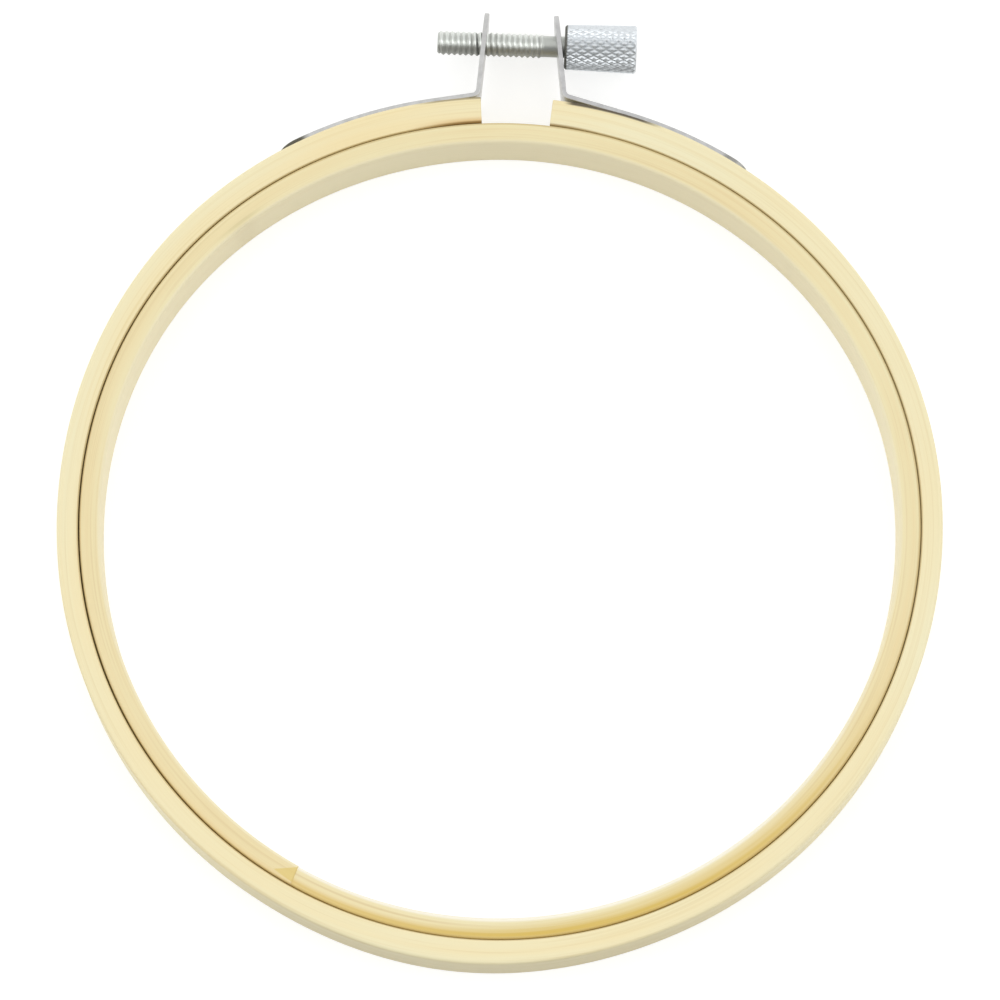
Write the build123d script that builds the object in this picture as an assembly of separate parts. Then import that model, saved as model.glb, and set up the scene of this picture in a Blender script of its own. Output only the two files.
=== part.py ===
from build123d import *
import os
from math import asin, atan2, cos, degrees, radians, sin, tan

# Round embroidery hoop with a clamp screw, in millimetres.
# The origin is the centre of the inner ring's bore at mid-height. +Z is the hoop's axis,
# +Y points to the clamp and +X along the clamp screw, towards its knob.
# Angles on the hoop are counted from +Y, positive towards the knob.

# Bamboo rings
hoop_outer_width = 149.4
band_height = 10.0
inner_wall = 3.65
outer_wall = 3.6
outer_wall_at_gap = 4.8
clamp_arc_tightening = 0.6
ring_fit_clearance = 0.1
ring_edge_chamfer = 0.4
ring_end_chamfer = 0.25
gap_width = 11.7

# Clamp screw
screw_radius = 2.1
screw_stand_off = 11.0
neck_radius = 1.85
neck_length_past_lug = 2.0
tip_past_lug = 8.1
tip_chamfer = 0.45
plain_hole_clearance = 0.1
threaded_hole_clearance = 0.05

# Knob pressed on the screw
knob_length = 12.5
knob_inner_radius = 3.9
knob_outer_radius = 4.2
knob_chamfer = 0.35
knob_bore_depth = 9.0
knob_press_clearance = 0.01
knob_bearing_clearance = 0.1

# Brackets, bent from one width of sheet strip
strip_thickness = 0.8
strip_width = 7.5
strip_corner_radius = 3.0
strip_seat_clearance = 0.05
bend_inside_radius = 0.8
lug_rise_past_screw = 5.3
tail_angle = 32.5

threaded_lug_offset = 6.1
threaded_lug_lean = 3.7
threaded_touch_angle = 11.0
threaded_near_nail_angle = 10.9

plain_lug_offset = 6.9
plain_lug_lean = 7.3
plain_touch_angle = 15.0
plain_near_nail_angle = 12.5

# Nails that hold the brackets
nail_radius = 0.8
nail_head_radius = 2.2
nail_head_rise = 0.6
nail_length = 4.0
nail_point_length = 1.6
nail_fit_clearance = 0.05
nail_to_tail_end = 2.5

# Derived sizes. Near the clamp the outer face curves more tightly than half the hoop's width,
# and the brackets are bent to that arc.
half_width = hoop_outer_width / 2
seat_radius = half_width - outer_wall
inner_ring_radius = seat_radius - ring_fit_clearance
bore_radius = inner_ring_radius - inner_wall
crown = Vector(0, seat_radius + outer_wall_at_gap)
clamp_face_radius = half_width - clamp_arc_tightening
clamp_centre = crown - Vector(0, clamp_face_radius)
gap_half_angle = degrees(asin(gap_width / 2 / seat_radius))
strip_face_radius = clamp_face_radius + strip_seat_clearance
screw_y = crown.Y + screw_stand_off
nail_tail_angle = tail_angle - degrees(nail_to_tail_end / strip_face_radius)
nail_hole_radius = nail_radius + nail_fit_clearance


def outward(angle):
    """Unit vector that points out of the hoop at an angle from the clamp."""
    return Vector(sin(radians(angle)), cos(radians(angle)))


def nail_locations(touch_angle, near_nail_angle):
    """Where the nail heads sit on the right bracket, local Z out of the sheet.

    Past the touch angle the sheet is curved with the ring, before it the sheet is flat.
    """
    far_face_radius = strip_face_radius + strip_thickness
    locations = []
    for angle in (near_nail_angle, nail_tail_angle):
        normal = outward(max(angle, touch_angle))
        along_run = far_face_radius * tan(radians(max(touch_angle - angle, 0)))
        seat = clamp_centre + normal * far_face_radius + outward(touch_angle - 90) * along_run
        locations.append(Plane(seat, x_dir=(0, 0, 1), z_dir=normal).location)
    return locations


def mirrored_to_left(shape):
    return mirror(shape, about=Plane.YZ)


def ring_blank(profile):
    """Band of bamboo from its plan, with its long edges eased."""
    band = extrude(Pos(0, 0, -band_height / 2) * profile, amount=band_height)
    return chamfer(band.edges().filter_by(GeomType.CIRCLE), ring_edge_chamfer)


def make_inner_ring():
    return ring_blank(Circle(inner_ring_radius) - Circle(bore_radius))


def outer_outline():
    """Outer face seen from above: a half circle at the foot, two side arcs and the clamp arc.

    Each arc is tangent to the next. The side arcs start level with the bore's centre.
    """
    rise = clamp_centre.Y
    side_radius = half_width + (rise ** 2 - clamp_arc_tightening ** 2) / (2 * clamp_arc_tightening)
    side_shift = side_radius - half_width
    side_sweep = degrees(atan2(rise, side_shift))
    arcs = [
        CenterArc((-side_shift, 0), side_radius, 0, side_sweep),
        CenterArc(clamp_centre, clamp_face_radius, side_sweep, 180 - 2 * side_sweep),
        CenterArc((side_shift, 0), side_radius, 180 - side_sweep, side_sweep),
        CenterArc((0, 0), half_width, 180, 180),
    ]
    return make_face(Wire(arcs))


def make_outer_ring():
    """Split band, thicker towards the clamp, with blind holes for the nails."""
    plan = outer_outline() - Circle(seat_radius)
    reach = hoop_outer_width
    left_cut = outward(-gap_half_angle) * reach
    right_cut = outward(gap_half_angle) * reach
    plan -= make_face(Polyline((0, 0), left_cut, right_cut, close=True))
    ring = ring_blank(plan)
    end_edges = ring.edges().filter_by(GeomType.LINE).filter_by(Axis.Z)
    ring = chamfer(end_edges, ring_end_chamfer)
    for place in nail_locations(plain_touch_angle, plain_near_nail_angle):
        ring -= place * nail_bore()
    for place in nail_locations(threaded_touch_angle, threaded_near_nail_angle):
        ring -= mirrored_to_left(place * nail_bore())
    return ring


def sheet_line(lug_offset, lug_lean, touch_angle, depth):
    """One face of a bracket's sheet, seen from above, at a depth from the wood side.

    It follows the ring from the tail to the touch angle, runs on straight, bends and
    climbs the lug. The lug leans over the gap by its lean angle.
    """
    hug_radius = strip_face_radius + depth
    tail = clamp_centre + outward(tail_angle) * hug_radius
    middle = clamp_centre + outward((tail_angle + touch_angle) / 2) * hug_radius
    touch = clamp_centre + outward(touch_angle) * hug_radius
    climb = outward(-lug_lean)
    away = outward(90 - lug_lean)
    foot = Vector(lug_offset, screw_y) + away * (depth - strip_thickness / 2)
    run = outward(touch_angle - 90)
    corner = touch + run * ((foot - touch).dot(away) / run.dot(away))
    tip = foot + climb * lug_rise_past_screw
    bend_radius = bend_inside_radius + strip_thickness - depth
    hug = ThreePointArc(tail, middle, touch)
    rise = FilletPolyline(touch, corner, tip, radius=bend_radius)
    return [hug, *rise.edges()]


def make_right_bracket(lug_offset, lug_lean, touch_angle, near_nail_angle, hole_radius):
    wood_side = sheet_line(lug_offset, lug_lean, touch_angle, 0)
    far_side = sheet_line(lug_offset, lug_lean, touch_angle, strip_thickness)
    tail_end = Line(wood_side[0] @ 0, far_side[0] @ 0)
    lug_end = Line(wood_side[-1] @ 1, far_side[-1] @ 1)
    section = make_face(Wire([*wood_side, lug_end, *far_side, tail_end]))
    sheet = extrude(section, amount=strip_width / 2, both=True)
    tolerance = strip_thickness / 100
    corner_edges = [e for e in sheet.edges() if abs(e.length - strip_thickness) < tolerance]
    sheet = fillet(corner_edges, strip_corner_radius)
    hole_length = screw_stand_off
    sheet -= Pos(lug_offset, screw_y) * Rot(0, 90, 0) * Cylinder(hole_radius, hole_length)
    for place in nail_locations(touch_angle, near_nail_angle):
        sheet -= place * nail_bore()
    return sheet


def nail_bore():
    """Hole for a nail's shank, through the sheet and on into the wood."""
    depth = nail_length + nail_fit_clearance
    return Cylinder(nail_hole_radius, depth, align=(Align.CENTER, Align.CENTER, Align.MAX))


def make_nail():
    """Nail with its head's underside on the local origin and its point towards -Z."""
    profile = Polyline(
        (0, -nail_length),
        (nail_radius, -nail_length + nail_point_length),
        (nail_radius, 0),
        (nail_head_radius, 0),
    )
    dome = RadiusArc((nail_head_radius, 0), (0, nail_head_rise), -dome_radius())
    spine = Line((0, nail_head_rise), (0, -nail_length))
    face = make_face([*profile.edges(), dome, spine])
    return revolve(Plane.XZ * face, Axis.Z)


def dome_radius():
    return (nail_head_radius ** 2 + nail_head_rise ** 2) / (2 * nail_head_rise)


def make_right_nails(touch_angle, near_nail_angle):
    return [place * make_nail() for place in nail_locations(touch_angle, near_nail_angle)]


def knob_face_offset():
    """Where the knob's inner face stands clear of the leaning plain lug."""
    lean = radians(plain_lug_lean)
    half_sheet = strip_thickness / 2 / cos(lean)
    lean_at_rim = knob_inner_radius * tan(lean)
    return plain_lug_offset + half_sheet + lean_at_rim + knob_bearing_clearance


def make_screw():
    """Shank with its thread's outer size, a thinner neck and the tail pressed into the knob."""
    tip = -threaded_lug_offset - tip_past_lug
    neck_start = plain_lug_offset - neck_length_past_lug - strip_thickness / 2
    tail_end = knob_face_offset() + knob_bore_depth
    profile = Polyline(
        (tip, 0),
        (tip, screw_radius - tip_chamfer),
        (tip + tip_chamfer, screw_radius),
        (neck_start - tip_chamfer, screw_radius),
        (neck_start, neck_radius),
        (tail_end, neck_radius),
        (tail_end, 0),
        close=True,
    )
    return Pos(0, screw_y) * revolve(make_face(profile), Axis.X)


def make_knob():
    """Slightly tapered grip with broken edges and a blind bore for the screw's tail."""
    face = knob_face_offset()
    taper = (knob_outer_radius - knob_inner_radius) / knob_length * knob_chamfer
    end = face + knob_length
    profile = Polyline(
        (face, 0),
        (face, knob_inner_radius - knob_chamfer),
        (face + knob_chamfer, knob_inner_radius + taper),
        (end - knob_chamfer, knob_outer_radius - taper),
        (end, knob_outer_radius - knob_chamfer),
        (end, 0),
        close=True,
    )
    knob = revolve(make_face(profile), Axis.X)
    bore_depth = knob_bore_depth + knob_press_clearance
    bore = Rot(0, 90, 0) * Cylinder(
        neck_radius + knob_press_clearance, bore_depth, align=(Align.CENTER, Align.CENTER, Align.MIN)
    )
    return Pos(0, screw_y) * (knob - Pos(face) * bore)


def main():
    threaded_hole = screw_radius + threaded_hole_clearance
    plain_hole = screw_radius + plain_hole_clearance
    left_bracket = mirrored_to_left(make_right_bracket(
        threaded_lug_offset, threaded_lug_lean, threaded_touch_angle,
        threaded_near_nail_angle, threaded_hole,
    ))
    right_bracket = make_right_bracket(
        plain_lug_offset, plain_lug_lean, plain_touch_angle, plain_near_nail_angle, plain_hole,
    )
    left_nails = make_right_nails(threaded_touch_angle, threaded_near_nail_angle)
    left_nails = [mirrored_to_left(nail) for nail in left_nails]
    right_nails = make_right_nails(plain_touch_angle, plain_near_nail_angle)
    nodes = {
        "inner_ring": make_inner_ring(),
        "outer_ring": make_outer_ring(),
        "threaded_bracket": left_bracket,
        "plain_bracket": right_bracket,
        "threaded_bracket_nails": Compound(left_nails),
        "plain_bracket_nails": Compound(right_nails),
        "clamp_screw": make_screw(),
        "clamp_knob": make_knob(),
    }
    os.makedirs("parts", exist_ok=True)
    for name, shape in nodes.items():
        export_step(shape, f"parts/{name}.step")


main()
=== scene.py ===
from math import atan2, ceil, cos, degrees, hypot, pi, radians, sin, sqrt, tan, tau

import bmesh
import bpy
import numpy as np
from mathutils import Matrix, Vector, noise
from mathutils.geometry import delaunay_2d_cdt


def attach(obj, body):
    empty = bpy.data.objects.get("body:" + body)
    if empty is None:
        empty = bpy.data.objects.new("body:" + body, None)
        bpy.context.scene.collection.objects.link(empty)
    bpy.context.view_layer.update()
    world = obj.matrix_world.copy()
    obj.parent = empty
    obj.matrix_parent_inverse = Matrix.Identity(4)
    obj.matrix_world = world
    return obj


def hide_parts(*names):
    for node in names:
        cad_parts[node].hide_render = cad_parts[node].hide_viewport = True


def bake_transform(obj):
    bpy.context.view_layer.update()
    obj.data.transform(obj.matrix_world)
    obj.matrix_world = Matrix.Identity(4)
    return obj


# Looks of a bamboo embroidery hoop with a clamp screw, in metres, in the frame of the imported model.
# The origin is the bore's centre, +Z the hoop's axis, +Y points to the clamp and +X to the knob.
# Angles on the hoop are in degrees from +Y, positive towards the knob.
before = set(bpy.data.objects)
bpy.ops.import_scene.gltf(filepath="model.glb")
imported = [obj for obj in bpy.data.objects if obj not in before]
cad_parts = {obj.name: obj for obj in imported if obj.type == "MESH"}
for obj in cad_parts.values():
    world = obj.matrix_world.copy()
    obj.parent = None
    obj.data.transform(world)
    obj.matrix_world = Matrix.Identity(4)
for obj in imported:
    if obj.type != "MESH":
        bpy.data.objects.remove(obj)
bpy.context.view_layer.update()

mm = 0.001

# Bamboo rings
half_height = 5.0 * mm
seat_radius = 71.1 * mm
half_width = 74.7 * mm
side_face_radius = 77.1 * mm
side_shift = 2.4 * mm
clamp_face_radius = 74.1 * mm
clamp_centre_y = 1.8 * mm
shoulder_angle = 52.03
inner_ring_radius = 71.0 * mm
inner_ring_belly = 71.09 * mm
bore_radius = 67.35 * mm
mating_edge_radius = 0.28 * mm
free_edge_radius = 0.55 * mm
cut_edge_radius = 0.15 * mm
gap_half_angle = 4.72
joint_angle = -153.1
joint_slant = 0.12
inner_ring_sink = 0.5 * mm
planing_depth = 0.05 * mm
ring_step_angle = 0.75
clamp_centre = Vector((0, clamp_centre_y))

# Swellings of the bamboo: height, angle of the middle, and angle from there to where it ends
upper_left_swelling = (0.8 * mm, -52, 46)
right_swelling = (0.4 * mm, 66, 36)
foot_swelling = (0.6 * mm, 183, 30)

# Brackets, bent from sheet strip to the arc that the outer face follows near the clamp
strip_thickness = 0.8 * mm
strip_width = 7.5 * mm
strip_corner_radius = 3.0 * mm
strip_edge_radius = 0.12 * mm
strip_clearance = 0.05 * mm
strip_face_radius = clamp_face_radius + strip_clearance
strip_far_radius = strip_face_radius + strip_thickness
bend_inside_radius = 0.8 * mm
screw_y = 86.9 * mm
lug_rise_past_screw = 5.3 * mm
tail_angle = 32.5
plain_hole_radius = 2.2 * mm
threaded_hole_radius = 2.15 * mm
threaded_lug = {"offset": 6.1 * mm, "lean": 3.7, "touch_angle": 11.0, "near_nail_angle": 10.9}
plain_lug = {"offset": 6.9 * mm, "lean": 7.3, "touch_angle": 15.0, "near_nail_angle": 12.5}

# Nails
nail_radius = 0.8 * mm
nail_head_radius = 2.2 * mm
nail_head_rise = 0.6 * mm
nail_length = 4.0 * mm
nail_point_length = 1.6 * mm
nail_hole_radius = 0.85 * mm
nail_to_tail_end = 2.5 * mm
tail_nail_angle = tail_angle - degrees(nail_to_tail_end / strip_face_radius)

# Clamp screw and knob
thread_crest_radius = 2.1 * mm
thread_root_radius = 1.80 * mm
thread_pitch = 0.98 * mm
neck_radius = 1.85 * mm
tip_x = -14.2 * mm
tip_chamfer = 0.45 * mm
neck_x = 4.5 * mm
knob_x = 7.9 * mm
knob_length = 12.5 * mm
knob_inner_radius = 3.9 * mm
knob_outer_radius = 4.2 * mm
knob_chamfer = 0.35 * mm
knob_bore_radius = 1.86 * mm
knob_bore_depth = 9.01 * mm
knurl_grooves = 21
knurl_angle = 30.4
knurl_depth = 0.3 * mm


# Geometry helpers

def outward(angle):
    """Unit vector in the hoop's plane that points out of the hoop at an angle."""
    return Vector((sin(radians(angle)), cos(radians(angle))))


def smoothstep(low, high, value):
    """Share from 0 at the low value to 1 at the high one, with soft ends."""
    share = min(max((value - low) / (high - low), 0.0), 1.0)
    return share * share * (3 - 2 * share)


def add_object(name, data):
    made = bpy.data.objects.new(name, data)
    bpy.context.scene.collection.objects.link(made)
    return made


def smooth_out(mesh, smooth_angle):
    """Smooth shading, except over edges sharper than an angle."""
    mesh.shade_smooth()
    mesh.set_sharp_from_angle(angle=radians(smooth_angle))


def new_piece(name, vertices, faces, smooth_angle=30):
    """Mesh object with outward faces, smooth except over edges sharper than an angle."""
    weld_distance = 0.0002 * mm
    mesh = bpy.data.meshes.new(name)
    mesh.from_pydata([tuple(v) for v in vertices], [], faces)
    bm = bmesh.new()
    bm.from_mesh(mesh)
    bmesh.ops.remove_doubles(bm, verts=bm.verts, dist=weld_distance)
    bmesh.ops.dissolve_degenerate(bm, dist=weld_distance, edges=bm.edges)
    bmesh.ops.recalc_face_normals(bm, faces=bm.faces)
    bm.to_mesh(mesh)
    bm.free()
    smooth_out(mesh, smooth_angle)
    return add_object(name, mesh)


def bridge(first, second):
    """Quads between two closed rows of vertex indices of one length."""
    size = len(first)
    return [
        (first[i], first[(i + 1) % size], second[(i + 1) % size], second[i]) for i in range(size)
    ]


def loft(rows, closed=False):
    """Vertices and faces of a skin over closed rows of points, capped unless it closes on itself."""
    size = len(rows[0])
    vertices = [point for row in rows for point in row]
    index = [list(range(k * size, (k + 1) * size)) for k in range(len(rows))]
    faces = []
    for k in range(len(rows) if closed else len(rows) - 1):
        faces += bridge(index[k], index[(k + 1) % len(rows)])
    if not closed:
        faces += [tuple(reversed(index[0])), tuple(index[-1])]
    return vertices, faces


def write_grain(piece, place):
    """Stores at each face corner where the fibre or rolling direction of the material runs."""
    mesh = piece.data
    positions = np.zeros(len(mesh.vertices) * 3)
    mesh.vertices.foreach_get("co", positions)
    positions = positions.reshape(-1, 3)
    corner_vertex = np.zeros(len(mesh.loops), dtype=int)
    mesh.loops.foreach_get("vertex_index", corner_vertex)
    corner_points = positions[corner_vertex]
    corner_centres = np.zeros_like(corner_points)
    for polygon in mesh.polygons:
        span = slice(polygon.loop_start, polygon.loop_start + polygon.loop_total)
        corner_centres[span] = corner_points[span].mean(axis=0)
    attribute = mesh.attributes.new("grain", "FLOAT_VECTOR", "CORNER")
    attribute.data.foreach_set("vector", place(corner_points, corner_centres).ravel())


def around_hoop(start_angle):
    """Grain of a bent band: length along it from an angle, distance from its axis, height."""
    def place(points, centres):
        def turned(xy):
            return np.degrees(np.arctan2(xy[:, 0], xy[:, 1])) - start_angle
        middle = turned(centres) % 360
        angle = turned(points)
        angle += np.round((middle - angle) / 360) * 360
        radius = np.hypot(points[:, 0], points[:, 1])
        return np.stack([np.radians(angle) * seat_radius, radius - seat_radius, points[:, 2]], axis=1)
    return place


def along_strip(points, centres):
    """Grain of a bracket and its nails: length from the tail's end, height off the wood, width."""
    x, y = np.abs(points[:, 0]), points[:, 1] - clamp_centre_y
    from_tail = (radians(tail_angle) - np.arctan2(x, y)) * strip_face_radius
    return np.stack([from_tail, np.hypot(x, y) - strip_face_radius, points[:, 2]], axis=1)


def around_screw(points, centres):
    """Grain of a turned piece: length along its axis, distance from it, and turn in radians."""
    y, z = points[:, 1] - screw_y, points[:, 2]
    middle = np.arctan2(centres[:, 2], centres[:, 1] - screw_y)
    angle = np.arctan2(z, y)
    angle += np.round((middle - angle) / tau) * tau
    return np.stack([points[:, 0], np.hypot(y, z), angle], axis=1)


# Bamboo rings

def rounded_section(inner, outer, low, high, edge_radii, shrink=0.0, outer_belly=0.0):
    """Closed section of a band as (radius, height) points, its four edges rounded.

    The edge radii go round from the inner bottom edge by the outer bottom and outer top edge.
    The belly is how far the outer wall swells at half its height.
    """
    edge_steps = 4
    wall_steps = 6
    outer_wall = 1
    corners = [(inner, low, 180), (outer, low, 270), (outer, high, 0), (inner, high, 90)]
    points = []
    for (x, z, start), radius in zip(corners, edge_radii):
        centre_x = x + radius * (1 if x == inner else -1)
        centre_z = z + radius * (1 if z == low else -1)
        for k in range(edge_steps + 1):
            turn = radians(start + 90 * k / edge_steps)
            reach = radius - shrink
            points.append((centre_x + cos(turn) * reach, centre_z + sin(turn) * reach))
    filled = []
    for k, point in enumerate(points):
        filled.append(point)
        wall, place = divmod(k, edge_steps + 1)
        if place == edge_steps:
            after = points[(k + 1) % len(points)]
            belly = outer_belly if wall == outer_wall else 0.0
            for part in range(1, wall_steps):
                share = part / wall_steps
                filled.append((
                    point[0] + (after[0] - point[0]) * share + belly * 4 * share * (1 - share),
                    point[1] + (after[1] - point[1]) * share,
                ))
    return filled


def hand_planed(angle, seed):
    """Slow unevenness of a planed edge or face, up to the planing depth to either side."""
    waviness = 1.7
    spot = outward(angle) * waviness
    return planing_depth * noise.noise(Vector((spot.x, spot.y, seed)))


def on_hoop(angle, section):
    """Section points, given as (radius, height), turned to an angle on the hoop."""
    way = outward(angle)
    return [Vector((way.x * r, way.y * r, z)) for r, z in section]


def bump_at(angle, middle, half_span):
    """Smooth rise from 0 to 1 and back round an angle on the hoop."""
    away = abs((angle - middle + 180) % 360 - 180)
    return smoothstep(1.0, 0.0, away / half_span)


def swell(angle, swelling):
    """Height of a swelling at an angle on the hoop."""
    height, middle, half_span = swelling
    return height * bump_at(angle, middle, half_span)


def bend_unevenly(piece):
    """Pushes a piece on the hoop outwards where the bamboo bent unevenly: upper left and right."""
    for vertex in piece.data.vertices:
        x, y, z = vertex.co
        angle = degrees(atan2(x, y))
        push = swell(angle, upper_left_swelling) + swell(angle, right_swelling)
        share = 1 + push / hypot(x, y)
        vertex.co = (x * share, y * share, z)
    piece.data.update()


def make_inner_ring():
    """Closed band, whose top lies a little below the outer ring's on the side away from the clamp.

    It fits tightly at half its height, and is a little slacker at its edges on the left side.
    At the glued joint one end of the strip is a little thinner and lower than the other.
    """
    lap_step = 0.1 * mm
    lap_fades_over = 25
    joint_width_angle = 0.05
    left_slack = 0.12 * mm
    slack_starts = 0.2
    slack_turn = 10
    face_seed, bore_seed, top_seed = 7.7, 0.3, 3.1
    steps = round(360 / ring_step_angle)
    turns = [k * ring_step_angle for k in range(steps)] + [360 - joint_width_angle]
    rows = []
    for turn in turns:
        angle = joint_angle + turn
        lap = lap_step * smoothstep(lap_fades_over, 0, 360 - turn)
        sink = inner_ring_sink * (1 - cos(radians(angle))) / 2 + lap
        slack = left_slack * smoothstep(slack_starts, 1.0, -sin(radians(angle + slack_turn)))
        face = inner_ring_radius - slack - (planing_depth + hand_planed(angle, face_seed)) / 2
        section = rounded_section(
            bore_radius + lap + planing_depth + hand_planed(angle, bore_seed),
            face,
            -half_height,
            half_height - sink + hand_planed(angle, top_seed),
            [free_edge_radius, mating_edge_radius, mating_edge_radius, free_edge_radius],
            outer_belly=inner_ring_belly - face,
        )
        rows.append(on_hoop(angle, section))
    ring = new_piece("inner_band", *loft(rows, closed=True))
    write_grain(ring, around_hoop(joint_angle))
    slant_joint(ring)
    return ring


def slant_joint(ring):
    """Turns the glued joint's cut off the radius: the bore's side of it moves along the band."""
    slant_fades_over = 18
    for vertex in ring.data.vertices:
        x, y, z = vertex.co
        angle, reach = degrees(atan2(x, y)), hypot(x, y)
        share = bump_at(angle, joint_angle, slant_fades_over)
        turn = share * joint_slant * (seat_radius - reach) / reach
        vertex.co = (*(outward(angle + degrees(turn)) * reach).xy, z)
    ring.data.update()


def outer_face_at(angle):
    """Distance from the bore's axis to the outer ring's outer face.

    The face is a half circle round the foot, two side arcs and the clamp arc, all in tangent.
    """
    way = outward(abs(angle))
    if way.y <= 0:
        return half_width
    if abs(angle) < shoulder_angle:
        centre, radius = clamp_centre, clamp_face_radius
    else:
        centre, radius = Vector((-side_shift, 0)), side_face_radius
    ahead = centre.dot(way)
    return ahead + sqrt(ahead ** 2 + radius ** 2 - centre.length_squared)


def outer_section(angle, shrink=0.0):
    """Section of the outer band at an angle, thicker by the foot, its edges shrunk by a cut end."""
    face_seed, top_seed = 5.5, 9.2
    face = outer_face_at(angle) + swell(angle, foot_swelling)
    return rounded_section(
        seat_radius,
        face - (planing_depth + hand_planed(angle, face_seed)) / 2,
        -half_height,
        half_height - planing_depth + hand_planed(angle, top_seed),
        [mating_edge_radius, free_edge_radius, free_edge_radius, mating_edge_radius],
        shrink,
    )


def make_outer_half(name, lug, side):
    """Half of the split band, from its cut end at the clamp to the foot of the hoop."""
    end_steps = 4
    edge_turn = degrees(cut_edge_radius / seat_radius)
    rows = []
    for k in range(end_steps):
        along = k / end_steps
        angle = side * (gap_half_angle + along * edge_turn)
        shrink = cut_edge_radius * (1 - sqrt(1 - (1 - along) ** 2))
        rows.append(on_hoop(angle, outer_section(angle, shrink)))
    first = gap_half_angle + edge_turn
    steps = ceil((180 - first) / ring_step_angle)
    for k in range(steps + 1):
        angle = side * (first + (180 - first) * k / steps)
        rows.append(on_hoop(angle, outer_section(angle)))
    half = new_piece(name, *loft(rows))
    for seat, normal in nail_seats(lug, side):
        cut_nail_hole(half, seat, normal)
    write_grain(half, around_hoop(0))
    return half


def cut_nail_hole(piece, seat, normal):
    """Blind hole under a nail, cut out of the final mesh."""
    segments = 24
    overrun = 1.0 * mm
    room_past_point = 0.05 * mm
    depth = nail_length + room_past_point
    cutter_mesh = bpy.data.meshes.new("nail_cutter")
    bm = bmesh.new()
    bmesh.ops.create_cone(
        bm, cap_ends=True, segments=segments, radius1=nail_hole_radius,
        radius2=nail_hole_radius, depth=depth + overrun,
    )
    bm.to_mesh(cutter_mesh)
    bm.free()
    cutter = add_object("nail_cutter", cutter_mesh)
    cutter.rotation_mode = "QUATERNION"
    cutter.rotation_quaternion = normal.to_track_quat("Z", "Y")
    cutter.location = seat + normal * (overrun - depth) / 2
    modifier = piece.modifiers.new("nail_hole", "BOOLEAN")
    modifier.operation = "DIFFERENCE"
    modifier.object = cutter
    apply_modifiers(piece)
    bpy.data.objects.remove(cutter)
    bpy.data.meshes.remove(cutter_mesh)


def apply_modifiers(piece):
    """Puts the mesh that a piece's modifiers make in place of its own."""
    bpy.context.view_layer.update()
    evaluated = piece.evaluated_get(bpy.context.evaluated_depsgraph_get())
    made = bpy.data.meshes.new_from_object(evaluated)
    piece.modifiers.clear()
    old = piece.data
    piece.data = made
    bpy.data.meshes.remove(old)


# Brackets and nails

def nail_seats(lug, side):
    """Centre of each nail head's underside and the direction out of the sheet there."""
    seats = []
    for angle in (lug["near_nail_angle"], tail_nail_angle):
        normal = outward(max(angle, lug["touch_angle"]))
        back = strip_far_radius * tan(radians(max(lug["touch_angle"] - angle, 0)))
        seat = clamp_centre + normal * strip_far_radius
        seat += outward(lug["touch_angle"] - 90) * back
        seats.append((Vector((side * seat.x, seat.y, 0)), Vector((side * normal.x, normal.y, 0))))
    return seats


class SheetLine:
    """Line that a bracket's sheet follows, measured along its middle from the lug's tip.

    It is worked out for the right bracket. The lug goes down to a bend, the sheet runs on
    straight to where it touches the ring, and then it hugs the ring to its tail.
    """

    def __init__(self, lug):
        touch_angle = lug["touch_angle"]
        self.touch_angle = touch_angle
        self.near_nail_angle = lug["near_nail_angle"]
        self.climb = outward(-lug["lean"])
        self.away = outward(90 - lug["lean"])
        self.normal = outward(touch_angle)
        self.onward = outward(touch_angle + 90)
        foot = Vector((lug["offset"], screw_y)) - self.away * strip_thickness / 2
        touch = clamp_centre + self.normal * strip_face_radius
        corner = touch - self.onward * ((touch - foot).dot(self.away) / self.onward.dot(self.away))
        self.tip = foot + self.climb * lug_rise_past_screw
        turn = pi - (-self.climb).angle(-self.onward)
        self.outside_radius = bend_inside_radius + strip_thickness
        self.middle_radius = self.outside_radius - strip_thickness / 2
        tangent = self.outside_radius * tan(turn / 2)
        self.bend_start = (corner - self.tip).length - tangent
        self.bend_centre = self.tip - self.climb * self.bend_start + self.away * self.outside_radius
        self.bend_end = self.bend_start + turn * self.middle_radius
        self.run_start = corner + self.onward * tangent
        self.touch = self.bend_end + (touch - self.run_start).length
        self.hug_radius = strip_face_radius + strip_thickness / 2
        self.end = self.touch + radians(tail_angle - touch_angle) * self.hug_radius

    def nail_places(self):
        """Distances along the line of the two nails."""
        back = strip_far_radius * tan(radians(self.touch_angle - self.near_nail_angle))
        ahead = radians(tail_nail_angle - self.touch_angle) * self.hug_radius
        return [self.touch - back, self.touch + ahead]

    def place(self, along, depth):
        """Point in the hoop's plane at a distance along the line and a depth from the wood."""
        if along <= self.bend_start:
            return self.tip - self.climb * along + self.away * depth
        if along <= self.bend_end:
            turn = (along - self.bend_start) / self.middle_radius
            spoke = Matrix.Rotation(turn, 2) @ (-self.away)
            return self.bend_centre + spoke * (self.outside_radius - depth)
        if along <= self.touch:
            return self.run_start + self.onward * (along - self.bend_end) + self.normal * depth
        angle = radians(self.touch_angle) + (along - self.touch) / self.hug_radius
        spoke = Vector((sin(angle), cos(angle)))
        return clamp_centre + spoke * (strip_face_radius + depth)


def strip_stations(line):
    """Distances along the sheet where its mesh has a column, close together in the bend."""
    bend_step = 0.15 * mm
    plain_step = 0.7 * mm
    spans = [
        (strip_corner_radius, line.bend_start, plain_step),
        (line.bend_start, line.bend_end, bend_step),
        (line.bend_end, line.end - strip_corner_radius, plain_step),
    ]
    stations = []
    for low, high, step in spans:
        count = max(1, round((high - low) / step))
        stations += [low + (high - low) * k / count for k in range(count)]
    return stations + [line.end - strip_corner_radius]


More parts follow.
